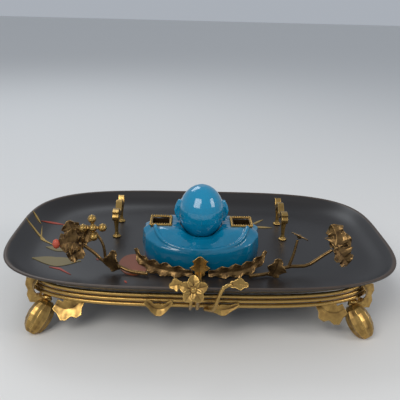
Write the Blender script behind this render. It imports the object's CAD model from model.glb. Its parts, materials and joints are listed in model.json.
"""Looks of the inkstand: black lacquer, gilt bronze with brown patina, and turquoise glaze."""
import json
import math

import bmesh
import bpy
import numpy as np
from mathutils import Matrix, Vector
from mathutils.bvhtree import BVHTree


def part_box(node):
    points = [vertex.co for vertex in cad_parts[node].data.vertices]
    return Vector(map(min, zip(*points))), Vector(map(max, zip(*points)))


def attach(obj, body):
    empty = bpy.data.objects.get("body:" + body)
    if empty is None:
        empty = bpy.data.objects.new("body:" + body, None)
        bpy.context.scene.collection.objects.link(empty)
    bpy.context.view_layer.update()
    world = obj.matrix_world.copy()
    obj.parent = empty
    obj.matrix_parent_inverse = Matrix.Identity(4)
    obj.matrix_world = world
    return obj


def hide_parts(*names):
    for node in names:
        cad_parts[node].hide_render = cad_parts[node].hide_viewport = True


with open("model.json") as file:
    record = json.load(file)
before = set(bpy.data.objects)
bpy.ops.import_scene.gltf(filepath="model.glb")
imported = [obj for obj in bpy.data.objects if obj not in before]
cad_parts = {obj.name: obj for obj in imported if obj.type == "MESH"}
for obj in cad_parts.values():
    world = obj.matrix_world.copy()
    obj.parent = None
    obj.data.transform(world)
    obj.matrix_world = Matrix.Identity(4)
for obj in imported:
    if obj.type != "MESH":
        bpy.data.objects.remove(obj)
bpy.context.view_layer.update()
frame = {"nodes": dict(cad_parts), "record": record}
scene = bpy.context.scene
record = frame["record"]
body_of = {node: body for body, nodes in record["behaviour"]["bodies"].items() for node in nodes}
slot_of = {part["node"]: part["material_slot"] for part in record["subparts"]}

# Camera, fitted to the photograph's side of the object
CAMERA_PLACE = Vector((-0.011, -0.4983, 0.2625))
CAMERA_PITCH = 0.33931
CAMERA_YAW = -0.01988
CAMERA_ROLL = 0.02588
CAMERA_LENS = 52.28
SENSOR = 36.0
PICTURE_SIZE = 400


def camera_axes():
    """The camera's right, up and forward directions."""
    pitch, yaw, roll = CAMERA_PITCH, CAMERA_YAW, CAMERA_ROLL
    forward = Vector((-math.sin(yaw) * math.cos(pitch), math.cos(yaw) * math.cos(pitch), -math.sin(pitch)))
    level = Vector((math.cos(yaw), math.sin(yaw), 0))
    rise = level.cross(forward)
    right = level * math.cos(roll) + rise * math.sin(roll)
    up = rise * math.cos(roll) - level * math.sin(roll)
    return right, up, forward


def set_camera():
    right, up, forward = camera_axes()
    camera = bpy.data.objects.new("camera", bpy.data.cameras.new("camera"))
    camera.data.lens = CAMERA_LENS
    camera.data.sensor_width = SENSOR
    camera.data.clip_start = 0.01
    turn = Matrix((right, up, -forward)).transposed().to_4x4()
    camera.matrix_world = Matrix.Translation(CAMERA_PLACE) @ turn
    scene.collection.objects.link(camera)
    scene.camera = camera


def lamp(name, place, aim, size, watts, colour=(1, 1, 1)):
    data = bpy.data.lights.new(name, "AREA")
    data.size = size
    data.energy = watts
    data.color = colour
    light = bpy.data.objects.new(name, data)
    light.location = place
    light.rotation_euler = (Vector(aim) - Vector(place)).to_track_quat("-Z", "Y").to_euler()
    scene.collection.objects.link(light)


def set_light():
    scene.view_settings.view_transform = "Standard"
    world = bpy.data.worlds.new("room")
    world.use_nodes = True
    world.node_tree.nodes["Background"].inputs["Color"].default_value = (0.8, 0.86, 0.95, 1)
    world.node_tree.nodes["Background"].inputs["Strength"].default_value = 0.5
    scene.world = world
    lamp("window", (-0.5, 0.9, 1.1), (0, 0, 0.03), 0.6, 4, (0.9, 0.95, 1))
    lamp("front", (-0.5, -0.9, 0.9), (0, 0, 0.05), 0.7, 8, (1, 0.96, 0.9))
    lamp("side", (0.9, -0.3, 0.6), (0, 0, 0.05), 0.4, 2.5, (1, 0.93, 0.85))


def shader(name):
    material = bpy.data.materials.new(name)
    material.use_nodes = True
    nodes = material.node_tree.nodes
    return material, nodes, material.node_tree.links, nodes["Principled BSDF"]


# Patina: how fine its patches and its grain are, and where the darkening starts and ends
PATCH_SCALE = 160
GRAIN_SCALE = 1500
DARKENING = (0.9, 1.5)
METAL_ROUGHNESS = (0.27, 0.6)
GRAIN_DEPTH = 0.0002


def patina_group():
    """Bright metal that darkens in the hollows and in soft patches. Gives colour, roughness and height."""
    tree = bpy.data.node_groups.new("patina", "ShaderNodeTree")
    for name, kind in (("Bright", "Color"), ("Dark", "Color"), ("Tarnish", "Float")):
        tree.interface.new_socket(name, in_out="INPUT", socket_type="NodeSocket" + kind)
    for name, kind in (("Color", "Color"), ("Roughness", "Float"), ("Height", "Float")):
        tree.interface.new_socket(name, in_out="OUTPUT", socket_type="NodeSocket" + kind)
    nodes, links = tree.nodes, tree.links
    given, result = nodes.new("NodeGroupInput"), nodes.new("NodeGroupOutput")
    place, hollow = nodes.new("ShaderNodeTexCoord"), nodes.new("ShaderNodeAttribute")
    hollow.attribute_name = "hollow"
    patches, grain = nodes.new("ShaderNodeTexNoise"), nodes.new("ShaderNodeTexNoise")
    patches.inputs["Scale"].default_value = PATCH_SCALE
    grain.inputs["Scale"].default_value = GRAIN_SCALE
    for noise in (patches, grain):
        links.new(place.outputs["Object"], noise.inputs["Vector"])
    total, level = nodes.new("ShaderNodeMath"), nodes.new("ShaderNodeMath")
    links.new(hollow.outputs["Fac"], total.inputs[0])
    links.new(patches.outputs["Fac"], total.inputs[1])
    level.operation = "ADD"
    links.new(total.outputs[0], level.inputs[0])
    links.new(given.outputs["Tarnish"], level.inputs[1])
    mask = nodes.new("ShaderNodeMapRange")
    mask.inputs["From Min"].default_value = DARKENING[0]
    mask.inputs["From Max"].default_value = DARKENING[1]
    links.new(level.outputs[0], mask.inputs["Value"])
    mix = nodes.new("ShaderNodeMix")
    mix.data_type = "RGBA"
    links.new(mask.outputs[0], mix.inputs["Factor"])
    links.new(given.outputs["Bright"], mix.inputs["A"])
    links.new(given.outputs["Dark"], mix.inputs["B"])
    links.new(mix.outputs["Result"], result.inputs["Color"])
    rough = nodes.new("ShaderNodeMapRange")
    rough.inputs["To Min"].default_value = METAL_ROUGHNESS[0]
    rough.inputs["To Max"].default_value = METAL_ROUGHNESS[1]
    links.new(mask.outputs[0], rough.inputs["Value"])
    links.new(rough.outputs[0], result.inputs["Roughness"])
    links.new(grain.outputs["Fac"], result.inputs["Height"])
    return tree


PATINA = patina_group()


def metal(name, bright, dark, tarnish):
    material, nodes, links, surface = shader(name)
    group = nodes.new("ShaderNodeGroup")
    group.node_tree = PATINA
    group.inputs["Bright"].default_value = (*bright, 1)
    group.inputs["Dark"].default_value = (*dark, 1)
    group.inputs["Tarnish"].default_value = tarnish
    bump = nodes.new("ShaderNodeBump")
    bump.inputs["Strength"].default_value = 0.25
    bump.inputs["Distance"].default_value = GRAIN_DEPTH
    links.new(group.outputs["Color"], surface.inputs["Base Color"])
    links.new(group.outputs["Roughness"], surface.inputs["Roughness"])
    links.new(group.outputs["Height"], bump.inputs["Height"])
    links.new(bump.outputs["Normal"], surface.inputs["Normal"])
    surface.inputs["Metallic"].default_value = 0.9
    return material


def height_blend(name, low, high, low_colour, high_colour, roughness, noise_scale, noise_share, coat):
    """A glossy finish whose colour changes with height, broken up by a soft noise."""
    material, nodes, links, surface = shader(name)
    place, split = nodes.new("ShaderNodeTexCoord"), nodes.new("ShaderNodeSeparateXYZ")
    noise = nodes.new("ShaderNodeTexNoise")
    noise.inputs["Scale"].default_value = noise_scale
    links.new(place.outputs["Object"], split.inputs[0])
    links.new(place.outputs["Object"], noise.inputs["Vector"])
    drift = nodes.new("ShaderNodeMath")
    drift.operation = "MULTIPLY_ADD"
    drift.inputs[1].default_value = noise_share
    links.new(noise.outputs["Fac"], drift.inputs[0])
    links.new(split.outputs["Z"], drift.inputs[2])
    span = nodes.new("ShaderNodeMapRange")
    span.inputs["From Min"].default_value = low + noise_share / 2
    span.inputs["From Max"].default_value = high + noise_share / 2
    links.new(drift.outputs[0], span.inputs["Value"])
    mix = nodes.new("ShaderNodeMix")
    mix.data_type = "RGBA"
    mix.inputs["A"].default_value = (*low_colour, 1)
    mix.inputs["B"].default_value = (*high_colour, 1)
    links.new(span.outputs[0], mix.inputs["Factor"])
    links.new(mix.outputs["Result"], surface.inputs["Base Color"])
    surface.inputs["Roughness"].default_value = roughness
    surface.inputs["Coat Weight"].default_value = coat
    surface.inputs["Coat Roughness"].default_value = roughness / 2
    return material


def plain(name, colour, roughness, metallic=0.0):
    material, _, _, surface = shader(name)
    surface.inputs["Base Color"].default_value = (*colour, 1)
    surface.inputs["Roughness"].default_value = roughness
    surface.inputs["Metallic"].default_value = metallic
    return material


FINISH = {
    "lacquer": height_blend(
        "lacquer",
        low=0.0538,
        high=0.0551,
        low_colour=(0.014, 0.012, 0.012),
        high_colour=(0.06, 0.038, 0.024),
        roughness=0.4,
        noise_scale=90,
        noise_share=0.0012,
        coat=0.0,
    ),
    "glaze": height_blend(
        "glaze",
        low=0.045,
        high=0.092,
        low_colour=(0.0, 0.09, 0.17),
        high_colour=(0.0, 0.23, 0.42),
        roughness=0.12,
        noise_scale=70,
        noise_share=0.02,
        coat=0.5,
    ),
    "gilt_bronze": metal("gilt_bronze", (0.46, 0.29, 0.09), (0.085, 0.045, 0.018), 0.06),
    "dark_bronze": metal("dark_bronze", (0.24, 0.145, 0.055), (0.045, 0.026, 0.014), 0.16),
    "dark_metal": metal("dark_metal", (0.2, 0.12, 0.05), (0.04, 0.025, 0.015), 0.2),
    "iron": plain("iron", (0.1, 0.09, 0.08), 0.5, 1.0),
    "coral": plain("coral", (0.5, 0.09, 0.05), 0.4),
}
GOLD_PAINT = metal("gold_paint", (0.55, 0.36, 0.1), (0.3, 0.16, 0.05), -0.1)
OLIVE_GOLD = plain("olive_gold_paint", (0.15, 0.115, 0.035), 0.5)
FRUIT_PAINT = plain("fruit_paint", (0.21, 0.05, 0.014), 0.5)
RED_PAINT = plain("red_paint", (0.3, 0.035, 0.012), 0.5)


def finish_as(piece, node, material):
    """Gives the piece its material and lets it stand for a node."""
    piece.data.materials.clear()
    piece.data.materials.append(material)
    piece.data.polygons.foreach_set("use_smooth", [True] * len(piece.data.polygons))
    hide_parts(node)
    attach(piece, body_of[node])


def mark_hollows(mesh):
    """Stores how hollow the skin is at each point, from 0 on crests to 1 in grooves."""
    count = len(mesh.vertices)
    place = np.zeros(count * 3)
    normal = np.zeros(count * 3)
    edges = np.zeros(len(mesh.edges) * 2, int)
    mesh.vertices.foreach_get("co", place)
    mesh.vertices.foreach_get("normal", normal)
    mesh.edges.foreach_get("vertices", edges)
    place, normal, edges = place.reshape(-1, 3), normal.reshape(-1, 3), edges.reshape(-1, 2)
    total = np.zeros((count, 3))
    share = np.zeros(count)
    for a, b in ((0, 1), (1, 0)):
        step = place[edges[:, b]] - place[edges[:, a]]
        step /= np.maximum(np.linalg.norm(step, axis=1), 1e-9)[:, None]
        np.add.at(total, edges[:, a], step)
        np.add.at(share, edges[:, a], 1)
    bend = (total * normal).sum(axis=1) / np.maximum(share, 1)
    for _ in range(2):
        spread = np.zeros(count)
        for a, b in ((0, 1), (1, 0)):
            np.add.at(spread, edges[:, a], bend[edges[:, b]])
        bend = (bend + spread) / (1 + np.maximum(share, 1))
    layer = mesh.attributes.new("hollow", "FLOAT", "POINT")
    layer.data.foreach_set("value", np.clip(0.5 + 5 * bend, 0, 1))


def refined(node, grid, rounds):
    """A copy of a node with an even, softened skin."""
    mesh = frame["nodes"][node].data.copy()
    work = bmesh.new()
    work.from_mesh(mesh)
    bmesh.ops.remove_doubles(work, verts=work.verts, dist=1e-6)
    work.to_mesh(mesh)
    work.free()
    piece = bpy.data.objects.new(node + "_finish", mesh)
    scene.collection.objects.link(piece)
    skin = piece.modifiers.new("even_skin", "REMESH")
    skin.mode = "VOXEL"
    skin.voxel_size = grid
    soft = piece.modifiers.new("soften", "SMOOTH")
    soft.iterations = rounds
    result = bpy.data.meshes.new_from_object(piece.evaluated_get(bpy.context.evaluated_depsgraph_get()))
    piece.modifiers.clear()
    piece.data = result
    mark_hollows(result)
    finish_as(piece, node, FINISH[slot_of[node]])
    return piece


PLAIN_NODES = ("frame_reed", "pen_rest_nut", "figure_bolt", "well_liner", "lacquer_tray")
FINE_GRID = 0.00032
PORCELAIN_GRID = 0.0007
for node, cad in frame["nodes"].items():
    if node.startswith(PLAIN_NODES):
        cad.data.materials.clear()
        cad.data.materials.append(FINISH[slot_of[node]])
    elif node.startswith("porcelain"):
        refined(node, PORCELAIN_GRID, 6)
    else:
        refined(node, FINE_GRID, 3)

# Tray plan, in the part's own sizes
TRAY_LOW, TRAY_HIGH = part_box("lacquer_tray")
TRAY_MIDDLE = (Vector(TRAY_LOW) + Vector(TRAY_HIGH)) / 2
HALF_LENGTH = (TRAY_HIGH[0] - TRAY_LOW[0]) / 2
HALF_DEPTH = (TRAY_HIGH[1] - TRAY_LOW[1]) / 2
SQUARENESS = 3.6
AROUND = 240


def plan_ring(inset, z):
    points = []
    for k in range(AROUND):
        angle = 2 * math.pi * k / AROUND
        c, s = math.cos(angle), math.sin(angle)
        x = (HALF_LENGTH - inset) * math.copysign(abs(c) ** (2 / SQUARENESS), c)
        y = (HALF_DEPTH - inset) * math.copysign(abs(s) ** (2 / SQUARENESS), s)
        points.append(Vector((x, y + TRAY_MIDDLE.y, z)))
    return points


def mesh_piece(name, points, faces):
    mesh = bpy.data.meshes.new(name)
    mesh.from_pydata([tuple(p) for p in points], [], faces)
    work = bmesh.new()
    work.from_mesh(mesh)
    bmesh.ops.recalc_face_normals(work, faces=work.faces)
    work.to_mesh(mesh)
    work.free()
    piece = bpy.data.objects.new(name, mesh)
    scene.collection.objects.link(piece)
    return piece


def ring_faces(rings, count, closed=False):
    faces = []
    for r in range(rings if closed else rings - 1):
        after = (r + 1) % rings
        for k in range(count):
            j = (k + 1) % count
            faces.append((r * count + k, r * count + j, after * count + j, after * count + k))
    return faces


def reeds():
    """The three reeds of the frame, round and even."""
    sides = 14
    for node in ("frame_reed_top", "frame_reed_middle", "frame_reed_bottom"):
        low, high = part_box(node)
        radius = (high[2] - low[2]) / 2 * 1.08
        line = plan_ring(HALF_LENGTH - high[0] + radius, (low[2] + high[2]) / 2)
        points = []
        for k, p in enumerate(line):
            along = (line[(k + 1) % AROUND] - line[k - 1]).normalized()
            out = Vector((along.y, -along.x, 0))
            for i in range(sides):
                angle = 2 * math.pi * i / sides
                points.append(p + out * (radius * math.cos(angle)) + Vector((0, 0, radius * math.sin(angle))))
        piece = mesh_piece(node + "_finish", points, ring_faces(AROUND, sides, closed=True))
        mark_hollows(piece.data)
        finish_as(piece, node, FINISH["gilt_bronze"])


reeds()

# Traditional gold and red brushwork on the tray's left side, drawn where the photograph shows it
GOLD_LINES = {
    "upper_line": [(33, 211), (41, 224)],
    "middle_line": [(26, 218), (39, 235), (48, 243)],
    "fork_line": [(42, 226), (41, 239), (55, 246)],
    "right_line_upper": [(251, 225), (263, 220)],
    "right_line_lower": [(251, 227), (272, 228)],
}
RED_LINES = {
    "red_band": [(41, 221), (65, 225)],
    "red_outline": [(49, 267), (60, 269), (71, 275)],
    "red_fleck_left": [(96, 259), (99, 260)],
    "red_fleck_middle": [(111, 268), (114, 270)],
    "red_fleck_front": [(124, 281), (127, 283)],
}
BRUSH_LEAVES = {
    "brush_leaf": ([(32, 258), (56, 262), (81, 261)], 9),
    "small_leaf": ([(46, 247), (66, 251)], 4),
}
FRUIT_MIDDLE = (134, 265)
FRUIT_REACH = 15
FRUIT_FLATTENING = 0.7
LINE_WIDTH = 1.6
PAINT_LIFT = 0.00025


# Tray section as steps in from the rim and down from it, in metres, from the underside to the floor
TRAY_SECTION = [
    (0.032, 0.018),
    (0.026, 0.0177),
    (0.0161, 0.0121),
    (0.0078, 0.0068),
    (0.0006, 0.002),
    (0.0, 0.0007),
    (0.0008, 0.0),
    (0.0025, 0.0),
    (0.0042, 0.0016),
    (0.0104, 0.0081),
    (0.0187, 0.0126),
    (0.028, 0.014),
    (0.04, 0.014),
]


def rounded(section, rounds):
    """The section with its corners cut again and again until it runs smooth."""
    for _ in range(rounds):
        cut = [section[0]]
        for (a, b), (c, d) in zip(section, section[1:]):
            cut += [(0.75 * a + 0.25 * c, 0.75 * b + 0.25 * d), (0.25 * a + 0.75 * c, 0.25 * b + 0.75 * d)]
        section = cut + [section[-1]]
    return section


def tray():
    """The lacquered dish with a smooth wall and rim."""
    section = rounded(TRAY_SECTION, 2)
    points = [p for inset, drop in section for p in plan_ring(inset, TRAY_HIGH[2] - drop)]
    faces = ring_faces(len(section), AROUND)
    last = (len(section) - 1) * AROUND
    faces += [tuple(range(AROUND)), tuple(range(last, last + AROUND))]
    piece = mesh_piece("lacquer_tray_finish", points, faces)
    finish_as(piece, "lacquer_tray", FINISH["lacquer"])
    return piece


def tray_surface():
    work = bmesh.new()
    work.from_mesh(tray().data)
    tree = BVHTree.FromBMesh(work)
    work.free()
    return tree


SURFACE = tray_surface()


def on_tray(pixel):
    """The point and normal of the tray behind a pixel of the picture."""
    right, up, forward = camera_axes()
    focal = CAMERA_LENS / SENSOR * PICTURE_SIZE
    half = PICTURE_SIZE / 2
    ray = forward + right * ((pixel[0] - half) / focal) - up * ((pixel[1] - half) / focal)
    place, normal, _, _ = SURFACE.ray_cast(CAMERA_PLACE, ray.normalized())
    return None if place is None else (place, normal)


def brush(name, pixels, width, material, taper=True):
    """A stroke of paint along some pixels, laid on the tray."""
    steps = 10 * (len(pixels) - 1)
    points = []
    for k in range(steps + 1):
        t = k / steps * (len(pixels) - 1)
        i = min(int(t), len(pixels) - 2)
        a, b = Vector(pixels[i]), Vector(pixels[i + 1])
        middle = a.lerp(b, t - i)
        across = Vector((-(b - a).y, (b - a).x)).normalized()
        half = width / 2 * (max(0.12, math.sin(math.pi * k / steps)) if taper else 1)
        for side in (-1, 1):
            hit = on_tray(middle + across * (half * side))
            if hit is None:
                return
            points.append(hit[0] + hit[1] * PAINT_LIFT)
    faces = [(2 * k, 2 * k + 1, 2 * k + 3, 2 * k + 2) for k in range(steps)]
    paint(name, points, faces, material)


def paint(name, points, faces, material):
    piece = mesh_piece(name, points, faces)
    piece.data.materials.append(material)
    film = piece.modifiers.new("film", "SOLIDIFY")
    film.thickness = PAINT_LIFT * 1.6
    film.offset = 0
    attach(piece, "stand")


for name, pixels in GOLD_LINES.items():
    brush(name, pixels, LINE_WIDTH, GOLD_PAINT)
for name, pixels in RED_LINES.items():
    brush(name, pixels, LINE_WIDTH, RED_PAINT)
for name, (pixels, width) in BRUSH_LEAVES.items():
    brush(name, pixels, width, OLIVE_GOLD)


BEAD_INSET = 0.0009
BEAD_SPACING = 0.0021
BEAD_RADIUS = 0.00095


def beads(liner):
    """A row of small beads round a well's rim, set out by Geometry Nodes."""
    low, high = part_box("well_rim_" + liner)
    left, right = low[0] + BEAD_INSET, high[0] - BEAD_INSET
    near, far = low[1] + BEAD_INSET, high[1] - BEAD_INSET
    corners = [(left, near), (right, near), (right, far), (left, far)]
    mesh = bpy.data.meshes.new("rim_line")
    mesh.from_pydata([(x, y, high[2]) for x, y in corners], [(0, 1), (1, 2), (2, 3), (3, 0)], [])
    piece = bpy.data.objects.new("rim_beads_" + liner, mesh)
    scene.collection.objects.link(piece)
    tree = bpy.data.node_groups.new("bead_row", "GeometryNodeTree")
    tree.interface.new_socket("Geometry", in_out="INPUT", socket_type="NodeSocketGeometry")
    spacing = tree.interface.new_socket("Spacing", in_out="INPUT", socket_type="NodeSocketFloat")
    size = tree.interface.new_socket("Bead radius", in_out="INPUT", socket_type="NodeSocketFloat")
    tree.interface.new_socket("Geometry", in_out="OUTPUT", socket_type="NodeSocketGeometry")
    nodes, links = tree.nodes, tree.links
    given, result = nodes.new("NodeGroupInput"), nodes.new("NodeGroupOutput")
    line, resample = nodes.new("GeometryNodeMeshToCurve"), nodes.new("GeometryNodeResampleCurve")
    resample.mode = "LENGTH"
    dots, bead = nodes.new("GeometryNodeInstanceOnPoints"), nodes.new("GeometryNodeMeshIcoSphere")
    bead.inputs["Subdivisions"].default_value = 2
    real, coat = nodes.new("GeometryNodeRealizeInstances"), nodes.new("GeometryNodeSetMaterial")
    coat.inputs["Material"].default_value = FINISH["gilt_bronze"]
    links.new(given.outputs["Geometry"], line.inputs["Mesh"])
    links.new(line.outputs["Curve"], resample.inputs["Curve"])
    links.new(given.outputs["Spacing"], resample.inputs["Length"])
    links.new(given.outputs["Bead radius"], bead.inputs["Radius"])
    links.new(resample.outputs["Curve"], dots.inputs["Points"])
    links.new(bead.outputs["Mesh"], dots.inputs["Instance"])
    links.new(dots.outputs["Instances"], real.inputs["Geometry"])
    links.new(real.outputs["Geometry"], coat.inputs["Geometry"])
    links.new(coat.outputs["Geometry"], result.inputs["Geometry"])
    rows = piece.modifiers.new("beads", "NODES")
    rows.node_group = tree
    rows[spacing.identifier] = BEAD_SPACING
    rows[size.identifier] = BEAD_RADIUS
    row = bpy.data.meshes.new_from_object(piece.evaluated_get(bpy.context.evaluated_depsgraph_get()))
    piece.modifiers.clear()
    piece.data = row
    row.polygons.foreach_set("use_smooth", [True] * len(row.polygons))
    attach(piece, "liner_" + liner)


for liner in ("left", "right"):
    beads(liner)


def fruit():
    """The orange and gold fruit painted on the dish floor."""
    rounds, spokes = 5, 24
    points = [on_tray(FRUIT_MIDDLE)]
    for r in range(1, rounds + 1):
        for k in range(spokes):
            angle = 2 * math.pi * k / spokes
            reach = FRUIT_REACH * r / rounds
            across = FRUIT_MIDDLE[0] + reach * math.cos(angle)
            down = FRUIT_MIDDLE[1] + FRUIT_FLATTENING * reach * math.sin(angle)
            points.append(on_tray((across, down)))
    faces = [(0, 1 + k, 1 + (k + 1) % spokes) for k in range(spokes)]
    for r in range(rounds - 1):
        a = 1 + r * spokes
        for k in range(spokes):
            j = (k + 1) % spokes
            faces.append((a + k, a + j, a + spokes + j, a + spokes + k))
    paint("fruit", [place + normal * PAINT_LIFT for place, normal in points], faces, FRUIT_PAINT)


fruit()


FLOOR_REACH = 6


def floor():
    mesh = bpy.data.meshes.new("floor")
    corners = [(x * FLOOR_REACH, y * FLOOR_REACH, 0) for x, y in ((-1, -1), (1, -1), (1, 1), (-1, 1))]
    mesh.from_pydata(corners, [], [(0, 1, 2, 3)])
    piece = bpy.data.objects.new("floor", mesh)
    mesh.materials.append(plain("floor_paper", (0.75, 0.75, 0.74), 0.8))
    scene.collection.objects.link(piece)


floor()
set_camera()
set_light()
